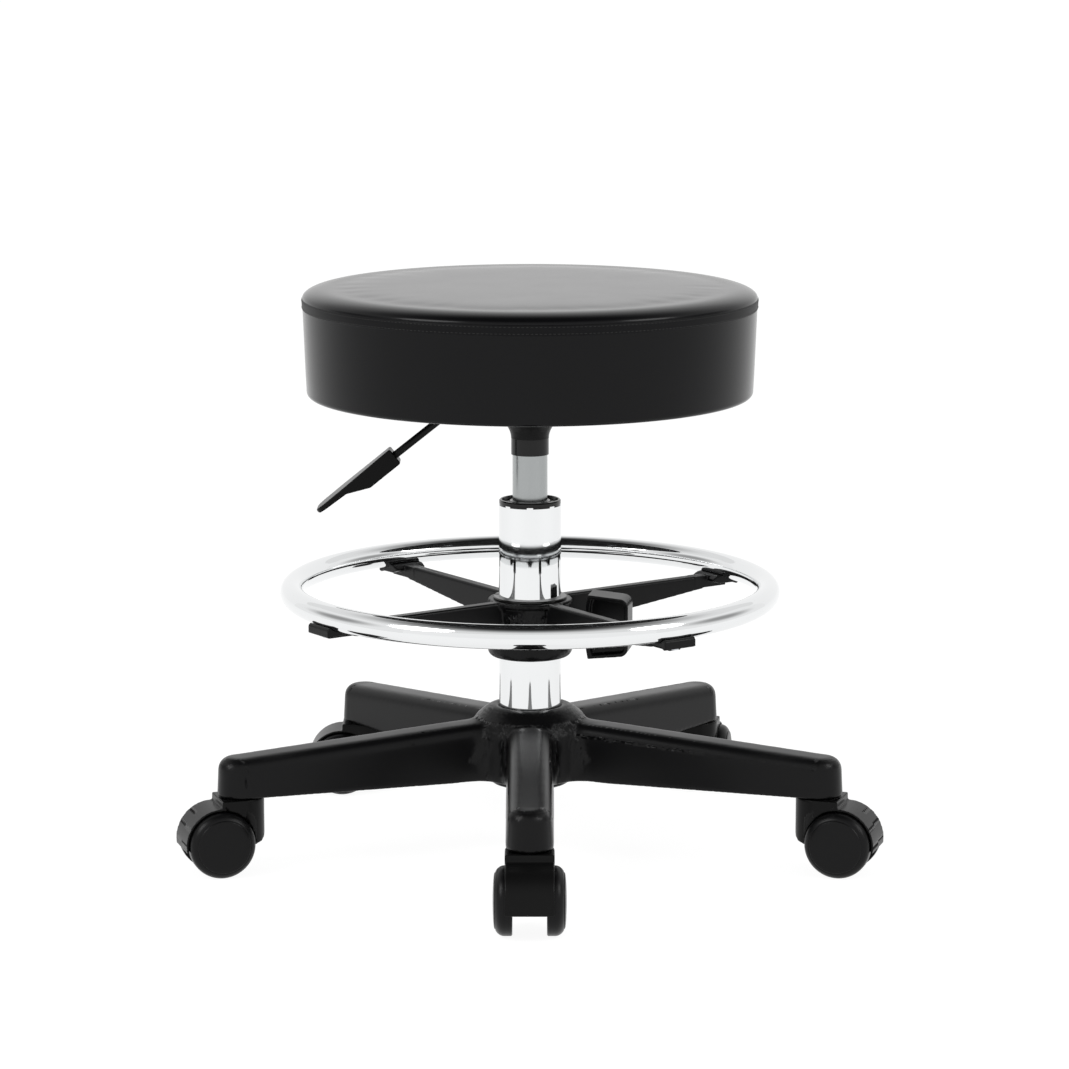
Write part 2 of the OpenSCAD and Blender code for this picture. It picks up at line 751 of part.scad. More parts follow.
// Cup that holds the ring's tube from below, with a slot and a recess for the screw
module saddle() {
    nose = 5;
    difference() {
        translate([0, 0, saddle_z]) linear_extrude(saddle_top - saddle_z)
            polygon([[saddle_in, -saddle_w / 2 + nose], [saddle_in + nose, -saddle_w / 2],
                     [saddle_out, -saddle_w / 2], [saddle_out, saddle_w / 2],
                     [saddle_in + nose, saddle_w / 2], [saddle_in, saddle_w / 2 - nose]]);
        translate([ring_r - slot_w / 2, -saddle_w, saddle_z - 1]) cube([slot_w, 2 * saddle_w, 1 + screw_bed]);
        translate([ring_r, 0, saddle_z - 1]) cylinder(h = 1 + screw_bed, d = screw_head_d + 1, $fn = smooth);
        translate([ring_r, 0, saddle_z - 1]) cylinder(h = ring_tube_d, d = saddle_screw_d, $fn = smooth);
        // Slanting underside towards the spoke
        translate([saddle_in - 1, -saddle_w, saddle_z - 1]) rotate([0, -18, 0])
            translate([-far, 0, -10]) cube([far, 2 * saddle_w, 11.5]);
    }
}

module at_clamp() {
    rotate([0, 0, knob_az]) translate([0, 0, clamp_z]) rotate([0, 90, 0]) children();
}

module ring_spider() {
    color([0.1, 0.1, 0.11]) difference() {
        union() {
            rotate_extrude()
                polygon(concat([[0, hub_z]], arc(hub_r - hub_round, hub_z + hub_round, hub_round, -90, 0, 6),
                               [[hub_r, hub_z + collar_h], [waist_r, hub_z + collar_h + 3],
                                [waist_r, hub_top - flange_h - 3], [hub_r, hub_top - flange_h],
                                [hub_r, hub_top - 1], [hub_r - 1, hub_top], [0, hub_top]]));
            at_spokes() {
                spoke();
                saddle();
            }
            at_clamp() cylinder(h = knob_start - gap - knob_boss_h(), r = boss_r, $fn = smooth);
        }
        translate([0, 0, ring_z]) rotate_extrude($fn = 128) translate([ring_r, 0])
            circle(r = ring_tube_r, $fn = smooth);
        translate([0, 0, hub_z - 1]) cylinder(h = hub_h + 2, r = hub_bore_r);
        translate([0, 0, hub_z - eps]) cylinder(h = split_lip + gap, r = split_r + split_lip + gap);
        at_clamp() cylinder(h = knob_start, r = insert_r, $fn = smooth);
    }
}

// Length of the knob's own boss, which reaches back to the hub's
function knob_boss_h() = 4;

module split_sleeve() {
    low = hub_z + 0.3;
    in = column_r + run;
    color([0.16, 0.16, 0.17]) difference() {
        rotate_extrude()
            polygon([[in, low], [split_r + split_lip - 0.5, low], [split_r + split_lip, low + 0.5],
                     [split_r + split_lip, low + split_lip - 0.3], [split_r, low + split_lip],
                     [split_r, hub_top + gap / 2], [split_r + split_lip, hub_top + gap / 2],
                     [split_r + split_lip, hub_top + split_lip - 0.5],
                     [split_r + split_lip - 0.5, hub_top + split_lip], [in, hub_top + split_lip]]);
        rotate([0, 0, knob_az + 180]) translate([0, -split_cut / 2, low - 1])
            cube([far, split_cut, hub_h + 2 * split_lip + 2]);
    }
}

module clamp_insert() {
    start = knob_start - gap - knob_boss_h() - insert_l;
    color("goldenrod") at_clamp() translate([0, 0, start]) difference() {
        cylinder(h = insert_l - 0.5, r = insert_r, $fn = smooth);
        translate([0, 0, -1]) cylinder(h = insert_l + 2, r = clamp_d / 2 + run, $fn = smooth);
    }
}

module clamp_pad() {
    color([0.9, 0.9, 0.86]) at_clamp() translate([0, 0, split_r + pad_gap])
        cylinder(h = pad_l, r = clamp_d / 2 - 0.5, $fn = smooth);
}

module clamp_screw() {
    start = split_r + pad_gap + pad_l;
    color([0.7, 0.7, 0.72]) at_clamp() translate([0, 0, start])
        cylinder(h = knob_start + knob_l / 2 - start, d = clamp_d, $fn = smooth);
}

// Side view of the knob, with its outer corners rounded and its wings tapering outwards
module knob_outline(inset) {
    corner = 7 - inset;
    near = knob_h / 2 - inset;
    end = near - 2.5;
    x0 = knob_start + inset;
    x1 = knob_start + knob_l - inset;
    polygon(concat([[x0, near - 8], [x0 + 1.5, near]], arc(x1 - corner, end - corner, corner, 90, 0, 6),
                   arc(x1 - corner, corner - end, corner, 0, -90, 6), [[x0 + 1.5, -near], [x0, 8 - near]]));
}

module clamp_knob() {
    pocket = (knob_w - knob_web) / 2;
    color([0.09, 0.09, 0.09]) rotate([0, 0, knob_az]) translate([0, 0, clamp_z]) difference() {
        union() {
            rotate([90, 0, 0]) linear_extrude(knob_w, center = true) knob_outline(0);
            translate([knob_start - knob_boss_h(), 0, 0]) rotate([0, 90, 0])
                cylinder(h = knob_boss_h() + 1, r = knob_boss_r, $fn = smooth);
        }
        for (side = [-1, 1]) translate([0, side * (knob_w / 2 - pocket / 2 + eps), 0]) rotate([90, 0, 0])
            linear_extrude(pocket, center = true) knob_outline(knob_rim);
        rotate([0, 90, 0]) cylinder(h = knob_start + knob_l / 2, d = clamp_d, $fn = smooth);
    }
}

// ---- Base ----

// Cross-section of an arm below its top line: rounded shoulders and drafted sides
module arm_section(inset) {
    depth = arm_root_h + 20;
    r = arm_round - inset;
    w = half_w - inset;
    foot = w + (depth - arm_round) * tan(arm_draft);
    polygon(concat([[-foot, -depth]], arc(r - w, -arm_round, r, 180, 90), arc(w - r, -arm_round, r, 90, 0),
                   [[foot, -depth]]));
}

// Stretch of an arm from one distance to another, running down with the arm's top line
module arm_bar(inset, from, to) {
    translate([0, 0, base_z + arm_root_h]) rotate([0, arm_tilt, 0]) translate([from, 0, 0])
        rotate([90, 0, 90]) linear_extrude(to - from) arm_section(inset);
}

module arm_tip() {
    top = base_z + arm_tip_h;
    foot = foot_w + trim * tan(arm_draft);
    translate([arm_reach, 0, 0]) rotate_extrude()
        polygon(concat([[0, base_z - trim], [foot, base_z - trim]],
                       arc(half_w - arm_round, top - arm_round, arm_round, 0, 90), [[0, top]]));
}

// Hollow under an arm, split into triangular cells by a zigzag of ribs
module arm_pocket() {
    start = web_edge;
    tip_wall = 7;                 // plastic left round the stem's hole
    stop = arm_reach - stem_r - tip_wall;
    cell = (stop - start) / rib_cells;
    high = 2 * foot_w;            // the cells' full height, past both walls
    slope = atan(high / cell);
    half_base = cell - rib_t / 2 / sin(slope);
    tip = high * half_base / cell;
    intersection() {
        arm_bar(arm_wall, start, stop);
        for (i = [0:rib_cells]) translate([start + cell * i, 0, base_z - trim]) rotate([0, 0, i % 2 * 180])
            linear_extrude(arm_root_h)
                polygon([[-half_base, -foot_w], [half_base, -foot_w], [0, tip - foot_w]]);
    }
}

// Fillet in plan between two neighbouring arms, to the right of the given one
module arm_web() {
    top = base_z + arm_root_h - arm_round / 2;
    rotate([0, 0, half_arm]) intersection() {
        translate([0, 0, base_z - trim]) linear_extrude(top - base_z + trim) difference() {
            polygon([[0, 0], web_edge * [cos(half_arm), -sin(half_arm)], [web_centre, 0],
                     web_edge * [cos(half_arm), sin(half_arm)]]);
            translate([web_centre, 0]) circle(r = web_round);
        }
        translate([0, 0, base_z - trim - 1])
            cylinder(h = top - base_z + trim + 1, r1 = 1.35 * web_edge, r2 = web_r - 3);
    }
}

module base_hub() {
    top = base_z + base_hub_h;
    steep = 48;                   // slope where the hub's upper curve turns over
    foot_a = 20;                  // slope left where the hollow curve ends
    turn_r = rim_r + hub_rise * sin(steep);
    turn_h = top - hub_rise + hub_rise * cos(steep);
    sweep = 12;                   // radius of the hollow curve under it
    web_lap = 1.2;                // how far the hub's side runs into the webs
    side_drop = 14;               // how far the hub's side stops below the arms' root
    side_r = web_r + web_lap;
    side_h = base_z + arm_root_h - side_drop;
    edge_r = 8;
    edge_a = 50;
    rotate_extrude()
        polygon(concat([[0, base_z - trim], [side_r + 1, base_z - trim], [side_r, side_h]],
                       arc(side_r - edge_r, side_h, edge_r, 0, edge_a, 5),
                       arc(turn_r + sweep * sin(steep), turn_h + sweep * cos(steep), sweep,
                           270 - foot_a, 270 - steep, 4),
                       arc(rim_r, top - hub_rise, hub_rise, 90 - steep, 90, 8), [[0, top]]));
}

module base_star() {
    boss_r = column_r + socket_wall;
    boss_h = column_proud - 2.5;
    inner = base_z + arm_root_h - 12;
    color([0.1, 0.1, 0.11]) difference() {
        union() {
            for (k = [1:arms]) rotate([0, 0, arm_a(k)]) {
                arm_bar(0, 0, arm_reach);
                arm_tip();
                arm_web();
            }
            base_hub();
        }
        // One flat underside, with the socket's boss left standing below it
        difference() {
            translate([0, 0, base_z - far / 2]) cube([2 * far, 2 * far, far], center = true);
            translate([0, 0, base_z - boss_h]) cylinder(h = 2 * boss_h, r = boss_r);
        }
        for (k = [1:arms]) rotate([0, 0, arm_a(k)]) {
            arm_pocket();
            translate([arm_reach, 0, base_z - trim]) cylinder(h = stem_l + trim + 1, d = stem_d);
        }
        // Ring-shaped hollow round the column's socket, crossed by a rib under each arm and web
        difference() {
            ring(base_z - 1, inner - base_z + 1, web_r - arm_wall, boss_r + 1);
            for (k = [0:2 * arms - 1]) rotate([0, 0, front_a + half_arm * k])
                translate([0, -rib_t / 2, 0]) cube([far, rib_t, far]);
        }
        // Tapered socket for the column
        translate([0, 0, column_z]) cylinder(h = taper_l, r1 = foot_r, r2 = column_r);
        translate([0, 0, taper_z - eps]) cylinder(h = far, r = column_r);
    }
}

// ---- Casters ----

module caster_stem() {
    top = base_z + stem_l;
    groove_z = top - 7;
    groove_w = 2.5;
    neck = stem_r - groove;
    chamfer = 1.5;
    low = neck_z - stem_low_l;
    color([0.7, 0.7, 0.72]) rotate_extrude($fn = smooth)
        polygon([[0, low], [stem_low_r - 0.5, low], [stem_low_r, low + 0.5], [stem_low_r, neck_z + gap / 2],
                 [stem_r, neck_z + gap / 2], [stem_r, groove_z], [neck, groove_z],
                 [neck, groove_z + groove_w], [stem_r, groove_z + groove_w], [stem_r, top - chamfer],
                 [stem_r - chamfer, top], [0, top]]);
}

// Side view of a housing: neck and heel under the arm, and the hood over the wheels
module housing_side() {
    heel_x = heel_r - neck_r;
    web_end = axle_r + 6;         // half length of the straight lower edge under the axle
    skirt_end = trail + hood_r + 2;
    difference() {
        union() {
            polygon(concat([[neck_r, neck_z], [-neck_r, neck_z]],
                           arc(heel_x, heel_z + heel_r, heel_r, 180, 270, 6),
                           [[trail - web_end, web_z], [trail + web_end, web_z], [trail, wheel_r + web_end]]));
            translate([trail, wheel_r]) circle(r = hood_r, $fn = 96);
        }
        // All that lies under the hood's lower edge
        polygon([[heel_x, heel_z], [trail - web_end, web_z], [trail + web_end, web_z],
                 [skirt_end, skirt_z], [far, skirt_z], [far, -far], [-far, -far], [-far, heel_z]]);
    }
}

module caster_housing() {
    pocket_y = wheel_space / 2 - side_gap;
    color([0.1, 0.1, 0.1]) difference() {
        intersection() {
            rotate([90, 0, 0]) linear_extrude(hood_w, center = true) housing_side();
            linear_extrude(neck_z + 1) {
                circle(r = neck_r);
                translate([0, -neck_r]) square([trail + hood_r + 1, 2 * neck_r]);
            }
        }
        for (side = [-1, 1]) translate([trail, side * (pocket_y + far / 2), wheel_r]) rotate([90, 0, 0])
            cylinder(h = far, r = wheel_r + wheel_gap, center = true, $fn = 96);
        translate([0, 0, neck_z - stem_low_l - 1])
            cylinder(h = stem_low_l + 2, r = stem_low_r + run, $fn = smooth);
        translate([trail, 0, wheel_r]) rotate([90, 0, 0])
            cylinder(h = 2 * wheel_space, r = axle_r, center = true, $fn = smooth);
    }
}

module caster_axle() {
    color([0.6, 0.6, 0.62]) translate([trail, 0, wheel_r]) rotate([90, 0, 0])
        cylinder(h = wheel_space + 2 * axle_in, r = axle_r, center = true, $fn = smooth);
}

// One wheel, on the side of the housing given by 1 or -1
module caster_wheel(side) {
    tread = 6;                    // width of the straight tread
    round_r = 9;                  // radius from the tread to the face
    rim = wheel_r - 5;            // edge of the raised disc on the face
    ledge = 0.6;                  // width and height of the step round the disc
    disc_r = rim - 0.4;
    crown = 1.5;                  // how far the disc's middle stands out
    face = wheel_t - crown;
    edge = 0.8;
    blind = axle_in + 0.5;
    well = 3;                     // depth of the hollow on the inner side
    hub = axle_r + 4;
    fall = acos((rim + ledge - wheel_r + round_r) / round_r);
    translate([trail, side * wheel_space / 2, wheel_r]) rotate([-90 * side, 0, 0]) color([0.06, 0.06, 0.06])
        rotate_extrude($fn = 96)
            polygon(concat([[axle_r + run, 0], [hub, 0], [hub, well], [rim, well], [rim, 0],
                            [wheel_r - edge, 0], [wheel_r, edge]],
                           [for (i = [0:8]) [wheel_r - round_r + round_r * cos(fall * i / 8),
                                             tread + (face - ledge - tread) * sin(fall * i / 8) / sin(fall)]],
                           [[rim, face - ledge], [disc_r, face]],
                           [for (i = [1:8]) [disc_r * cos(90 * i / 8), face + crown * sin(90 * i / 8)]],
                           [[0, blind], [axle_r + run, blind]]));
}

// ---- Nodes ----

base_star();
outer_column();
guide_bush();
bearing_lower_washer();
bearing_balls();
bearing_upper_washer();
piston_rod();
piston();
piston_nut();
retaining_clip();
pressure_tube();
rod_guide();
valve_body();
release_pin();
tube_sleeve();
socket_cone();
seat_plate();
plate_bolts();
tee_nuts();
seat_board();
dust_cloth();
seat_foam();
seat_cover();
lever_bracket();
lever_pivot_pin();
lever_rod();
lever_handle();
foot_ring();
ring_spider();
split_sleeve();
saddle_screws();
clamp_insert();
clamp_pad();
clamp_screw();
clamp_knob();
for (k = [1:arms]) {
    at_caster(k) caster_stem();
    at_caster(k) caster_housing();
    at_caster(k) caster_axle();
    at_caster(k) caster_wheel(1);
    at_caster(k) caster_wheel(-1);
}
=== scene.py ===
import bpy
import json
import math
import random
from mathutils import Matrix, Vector


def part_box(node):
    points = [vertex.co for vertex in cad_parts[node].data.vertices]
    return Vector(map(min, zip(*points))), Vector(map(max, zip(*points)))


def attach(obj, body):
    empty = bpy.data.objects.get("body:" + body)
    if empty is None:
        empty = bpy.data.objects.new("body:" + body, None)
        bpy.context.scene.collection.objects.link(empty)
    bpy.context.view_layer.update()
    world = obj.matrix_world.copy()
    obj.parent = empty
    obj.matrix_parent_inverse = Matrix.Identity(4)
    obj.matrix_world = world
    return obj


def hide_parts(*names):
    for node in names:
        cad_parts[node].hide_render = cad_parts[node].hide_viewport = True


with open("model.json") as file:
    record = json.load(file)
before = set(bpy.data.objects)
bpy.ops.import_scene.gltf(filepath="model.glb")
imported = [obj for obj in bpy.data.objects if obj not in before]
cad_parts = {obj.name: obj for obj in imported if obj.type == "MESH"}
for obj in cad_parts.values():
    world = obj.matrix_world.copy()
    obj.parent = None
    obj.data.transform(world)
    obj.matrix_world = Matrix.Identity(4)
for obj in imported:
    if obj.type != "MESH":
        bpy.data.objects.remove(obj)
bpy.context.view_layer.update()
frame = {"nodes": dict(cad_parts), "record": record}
nodes = frame["nodes"]
print("frame loaded:", len(nodes), "nodes")

mm = 0.001
fullTurn = 2 * math.pi
weldGap = 0.001 * mm       # points closer than this are joined in a piece made here
copyWeldGap = 0.02 * mm    # the same in a copy of a CAD node
edgeAngle = 35             # degrees: sharper edges than this stay crisp in the shading
softAngle = 60             # the same on cushions and moulded parts
mostTriangles = 150000     # more than this in one moulded part is thinned out


# small tools

def deselectAll():
    if bpy.context.mode != "OBJECT":
        bpy.ops.object.mode_set(mode="OBJECT")
    bpy.ops.object.select_all(action="DESELECT")


def focus(piece):
    deselectAll()
    piece.select_set(True)
    bpy.context.view_layer.objects.active = piece


def settle(piece):
    # puts the object's place into its mesh
    focus(piece)
    bpy.ops.object.transform_apply(location=True, rotation=True, scale=True)


def joinInto(piece, others):
    deselectAll()
    for other in others:
        other.select_set(True)
    piece.select_set(True)
    bpy.context.view_layer.objects.active = piece
    bpy.ops.object.join()


def smoothBy(piece, degrees=edgeAngle):
    focus(piece)
    bpy.ops.object.shade_smooth_by_angle(angle=math.radians(degrees))


def addModifier(piece, kind, **settings):
    modifier = piece.modifiers.new(kind.title(), kind)
    for key, value in settings.items():
        setattr(modifier, key, value)
    return modifier


def applyModifiers(piece):
    focus(piece)
    for modifier in list(piece.modifiers):
        bpy.ops.object.modifier_apply(modifier=modifier.name)


def relax(piece, passes, **settings):
    addModifier(piece, "SMOOTH", factor=0.5, iterations=passes, **settings)
    applyModifiers(piece)


def wrapOn(piece, target, mode):
    addModifier(piece, "SHRINKWRAP", target=target, wrap_method="NEAREST_SURFACEPOINT", wrap_mode=mode)
    applyModifiers(piece)


def arcPoints(x, y, radius, start, end, steps):
    turn = [math.radians(start + (end - start) * i / steps) for i in range(steps + 1)]
    return [(x + radius * math.cos(a), y + radius * math.sin(a)) for a in turn]


def inMm(points):
    return [(x * mm, y * mm) for x, y in points]


def traceOutline(name, points):
    # a new piece, left in edit mode, with an edge drawn from each point to the next
    deselectAll()
    bpy.ops.mesh.primitive_plane_add(size=0.001)
    piece = bpy.context.object
    piece.name = name
    bpy.ops.object.mode_set(mode="EDIT")
    bpy.ops.mesh.select_all(action="SELECT")
    bpy.ops.mesh.merge(type="CENTER")
    last = Vector(points[0])
    bpy.ops.transform.translate(value=last)
    for point in points[1:]:
        here = Vector(point)
        bpy.ops.mesh.extrude_vertices_move(TRANSFORM_OT_translate={"value": here - last})
        last = here
    bpy.ops.mesh.select_all(action="SELECT")
    return piece


def closeUp():
    # joins doubled points, turns every face outwards and leaves edit mode
    bpy.ops.mesh.select_all(action="SELECT")
    bpy.ops.mesh.remove_doubles(threshold=weldGap)
    bpy.ops.mesh.normals_make_consistent(inside=False)
    bpy.ops.object.mode_set(mode="OBJECT")


def lathe(name, profile, steps, closed=True):
    # turns a profile of (radius, height) about the column's axis
    path = profile + (profile[:1] if closed else [])
    piece = traceOutline(name, [(radius, 0, height) for radius, height in path])
    bpy.ops.mesh.spin(steps=steps, angle=fullTurn, center=(0, 0, 0), axis=(0, 0, 1))
    closeUp()
    smoothBy(piece)
    return piece


def slab(name, outline, width):
    # an outline of (distance, height) made as thick as width across the radius
    piece = traceOutline(name, [(distance, -width / 2, height) for distance, height in outline])
    bpy.ops.mesh.edge_face_add()
    bpy.ops.mesh.extrude_region_move(TRANSFORM_OT_translate={"value": (0, width, 0)})
    closeUp()
    return piece


def turned(piece, degrees):
    focus(piece)
    piece.rotation_euler = (0, 0, math.radians(degrees))
    settle(piece)
    return piece


def ringOf(piece, count):
    # repeats a piece evenly about the column's axis
    bpy.ops.object.empty_add(location=(0, 0, 0), rotation=(0, 0, fullTurn / count))
    turner = bpy.context.object
    addModifier(piece, "ARRAY", count=count, use_relative_offset=False, use_object_offset=True,
                offset_object=turner)
    applyModifiers(piece)
    bpy.data.objects.remove(turner)


def mouldedCopy(name, node, voxel, passes, trim=None, added=()):
    # a copy of a CAD node with the soft edges and inside corners a mould leaves
    piece = bpy.data.objects.new(name, nodes[node].data.copy())
    bpy.context.scene.collection.objects.link(piece)
    focus(piece)
    bpy.ops.object.mode_set(mode="EDIT")
    bpy.ops.mesh.select_all(action="SELECT")
    bpy.ops.mesh.remove_doubles(threshold=copyWeldGap)
    bpy.ops.object.mode_set(mode="OBJECT")
    if trim:
        addModifier(piece, "BOOLEAN", operation="DIFFERENCE", object=trim, solver="EXACT")
        applyModifiers(piece)
        bpy.data.objects.remove(trim)
    if added:
        joinInto(piece, added)
    source = piece.copy()
    source.data = piece.data.copy()
    bpy.context.scene.collection.objects.link(source)
    piece.data.remesh_voxel_size = voxel
    focus(piece)
    bpy.ops.object.voxel_remesh()
    relax(piece, 2)
    wrapOn(piece, source, "ON_SURFACE")
    bpy.data.objects.remove(source)
    relax(piece, passes)
    triangles = 2 * len(piece.data.polygons)
    if triangles > mostTriangles:
        addModifier(piece, "DECIMATE", ratio=mostTriangles / triangles)
        applyModifiers(piece)
    smoothBy(piece, softAngle)
    print(name, "made from", node, "with", triangles, "triangles before any thinning")
    return piece


def place(piece, body, finish, replaced=()):
    piece.data.materials.clear()
    piece.data.materials.append(finish)
    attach(piece, body)
    if replaced:
        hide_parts(*replaced)


def paint(node, finish):
    # gives a CAD node its finish
    slots = nodes[node].material_slots
    if not slots:
        nodes[node].data.materials.append(finish)
    for slot in slots:
        slot.material = finish


# effects that several finishes share

def newGroup(name, inputs, outputs):
    group = bpy.data.node_groups.new(name, "ShaderNodeTree")
    for label, kind, value in inputs:
        socket = group.interface.new_socket(name=label, in_out="INPUT", socket_type=kind)
        socket.default_value = value
    for label, kind in outputs:
        group.interface.new_socket(name=label, in_out="OUTPUT", socket_type=kind)
    return group, group.nodes.new("NodeGroupInput"), group.nodes.new("NodeGroupOutput")


def addNode(tree, kind, links=None, **settings):
    # a node with its settings, and its inputs fed by sockets or plain values
    node = tree.nodes.new(kind)
    for key, value in settings.items():
        setattr(node, key, value)
    for key, source in (links or {}).items():
        if isinstance(source, bpy.types.NodeSocket):
            tree.links.new(source, node.inputs[key])
        else:
            node.inputs[key].default_value = source
    return node


def noise(tree, where, scale, detail):
    return addNode(tree, "ShaderNodeTexNoise", {"Vector": where, "Scale": scale, "Detail": detail})


def scaledSum(tree, value, factor, start):
    # value * factor + start
    return addNode(tree, "ShaderNodeMath", {0: value, 1: factor, 2: start},
                   operation="MULTIPLY_ADD").outputs[0]


def feed(tree, node, **sockets):
    for label, source in sockets.items():
        tree.links.new(source, node.inputs[label.replace("_", " ")])


def grainGroup():
    # moulded or coated grain: a fine bump, and slow changes of tone and gloss
    group, given, result = newGroup(
        "mouldedGrain",
        [("Colour", "NodeSocketColor", (0.02, 0.02, 0.02, 1)), ("Tone spread", "NodeSocketFloat", 0.2),
         ("Gloss", "NodeSocketFloat", 0.4), ("Gloss spread", "NodeSocketFloat", 0.06),
         ("Grain scale", "NodeSocketFloat", 1500.0), ("Grain depth", "NodeSocketFloat", 0.00002)],
        [("Colour", "NodeSocketColor"), ("Roughness", "NodeSocketFloat"), ("Normal", "NodeSocketVector")])
    where = addNode(group, "ShaderNodeTexCoord").outputs["Object"]
    slow = noise(group, where, 22.0, 4.0).outputs["Fac"]
    tone = addNode(group, "ShaderNodeMath", {0: slow, 1: 0.5}, operation="SUBTRACT").outputs[0]
    shade = scaledSum(group, tone, given.outputs["Tone spread"], 1.0)
    colour = addNode(group, "ShaderNodeVectorMath", {0: given.outputs["Colour"], "Scale": shade},
                     operation="SCALE").outputs[0]
    gloss = scaledSum(group, tone, given.outputs["Gloss spread"], given.outputs["Gloss"])
    fine = noise(group, where, given.outputs["Grain scale"], 2.0).outputs["Fac"]
    bump = addNode(group, "ShaderNodeBump", {"Height": fine, "Distance": given.outputs["Grain depth"],
                                             "Strength": 1.0}).outputs["Normal"]
    feed(group, result, Colour=colour, Roughness=gloss, Normal=bump)
    return group


def leatherGroup():
    # pebbled leather grain: cells with creases between them, on a slower swell
    group, given, result = newGroup(
        "leatherGrain",
        [("Cell scale", "NodeSocketFloat", 900.0), ("Depth", "NodeSocketFloat", 0.0001)],
        [("Normal", "NodeSocketVector")])
    where = addNode(group, "ShaderNodeTexCoord").outputs["Object"]
    wobble = noise(group, where, 160.0, 2.0).outputs["Color"]
    bent = addNode(group, "ShaderNodeMix", {0: 0.012, 4: where, 5: wobble}, data_type="VECTOR").outputs[1]
    cells = addNode(group, "ShaderNodeTexVoronoi", {"Vector": bent, "Scale": given.outputs["Cell scale"]},
                    feature="SMOOTH_F1").outputs["Distance"]
    swell = noise(group, where, 320.0, 3.0).outputs["Fac"]
    height = scaledSum(group, swell, 0.6, cells)
    bump = addNode(group, "ShaderNodeBump", {"Height": height, "Distance": given.outputs["Depth"],
                                             "Strength": 1.0}, invert=True).outputs["Normal"]
    feed(group, result, Normal=bump)
    return group


def drawnGroup():
    # drawn or turned metal: streaks along the axis, and a light haze
    group, given, result = newGroup(
        "drawnMetal",
        [("Gloss", "NodeSocketFloat", 0.1), ("Gloss spread", "NodeSocketFloat", 0.05),
         ("Streak scale", "NodeSocketFloat", 900.0), ("Streak depth", "NodeSocketFloat", 0.000004)],
        [("Roughness", "NodeSocketFloat"), ("Normal", "NodeSocketVector")])
    where = addNode(group, "ShaderNodeTexCoord").outputs["Object"]
    long = addNode(group, "ShaderNodeMapping", {"Vector": where, "Scale": (1.0, 1.0, 0.02)}).outputs["Vector"]
    streak = noise(group, long, given.outputs["Streak scale"], 3.0).outputs["Fac"]
    haze = noise(group, where, 30.0, 5.0).outputs["Fac"]
    both = addNode(group, "ShaderNodeMath", {0: streak, 1: haze}, operation="ADD").outputs[0]
    spread = addNode(group, "ShaderNodeMath", {0: both, 1: 1.0}, operation="SUBTRACT").outputs[0]
    gloss = scaledSum(group, spread, given.outputs["Gloss spread"], given.outputs["Gloss"])
    bump = addNode(group, "ShaderNodeBump", {"Height": streak, "Distance": given.outputs["Streak depth"],
                                             "Strength": 1.0}).outputs["Normal"]
    feed(group, result, Roughness=gloss, Normal=bump)
    return group


groups = {"grain": grainGroup(), "leather": leatherGroup(), "drawn": drawnGroup()}


# finishes

def newFinish(name, **plain):
    # a material with one shader, whose plain sockets are set here
    finish = bpy.data.materials.new(name)
    finish.use_nodes = True
    tree = finish.node_tree
    shader = tree.nodes["Principled BSDF"]
    for key, value in plain.items():
        shader.inputs[key.replace("_", " ")].default_value = value
    return finish, tree, shader


def placeGroup(tree, group, **values):
    node = tree.nodes.new("ShaderNodeGroup")
    node.node_tree = group
    for key, value in values.items():
        node.inputs[key.replace("_", " ")].default_value = value
    return node.outputs


def grainFinish(name, colour, gloss, scale, depth, glossSpread=0.1, **plain):
    finish, tree, shader = newFinish(name, **plain)
    grain = placeGroup(tree, groups["grain"], Colour=(*colour, 1), Tone_spread=0.25, Gloss=gloss,
                       Gloss_spread=glossSpread, Grain_scale=scale, Grain_depth=depth)
    feed(tree, shader, Base_Color=grain["Colour"], Roughness=grain["Roughness"], Normal=grain["Normal"])
    return finish


def metalFinish(name, colour, gloss, glossSpread, scale, depth):
    finish, tree, shader = newFinish(name, Metallic=1.0, Base_Color=(*colour, 1))
    drawn = placeGroup(tree, groups["drawn"], Gloss=gloss, Gloss_spread=glossSpread, Streak_scale=scale,
                       Streak_depth=depth)
    feed(tree, shader, Roughness=drawn["Roughness"], Normal=drawn["Normal"])
    return finish


def seatVinyl(name, gloss, specular):
    finish, tree, shader = newFinish(name, Specular_IOR_Level=specular)
    leather = placeGroup(tree, groups["leather"], Cell_scale=950.0, Depth=0.0000015)
    grain = placeGroup(tree, groups["grain"], Colour=(0.0035, 0.0035, 0.004, 1), Tone_spread=0.3,
                       Gloss=gloss, Gloss_spread=0.04)
    feed(tree, shader, Base_Color=grain["Colour"], Roughness=grain["Roughness"], Normal=leather["Normal"])
    return finish


def twoTone(tree, share, dark, light):
    ramp = addNode(tree, "ShaderNodeValToRGB", {"Fac": share})
    ramp.color_ramp.elements[0].color = (*dark, 1)
    ramp.color_ramp.elements[1].color = (*light, 1)
    return ramp.outputs["Color"]


def dustFabric():
    # non-woven cloth: short fibres pressed flat, with a grid of heat-bonded points
    finish, tree, shader = newFinish("dustFabric", Specular_IOR_Level=0.1, Sheen_Weight=0.2, Roughness=0.9)
    where = addNode(tree, "ShaderNodeTexCoord").outputs["Object"]
    fibres = noise(tree, where, 900.0, 6.0).outputs["Fac"]
    points = addNode(tree, "ShaderNodeTexVoronoi", {"Vector": where, "Scale": 700.0,
                                                    "Randomness": 0.0}).outputs[0]
    both = addNode(tree, "ShaderNodeMath", {0: fibres, 1: points}, operation="ADD").outputs[0]
    tone = twoTone(tree, fibres, (0.008, 0.008, 0.008), (0.035, 0.035, 0.036))
    bump = addNode(tree, "ShaderNodeBump", {"Height": both, "Distance": 0.0003}).outputs["Normal"]
    feed(tree, shader, Base_Color=tone, Normal=bump)
    return finish


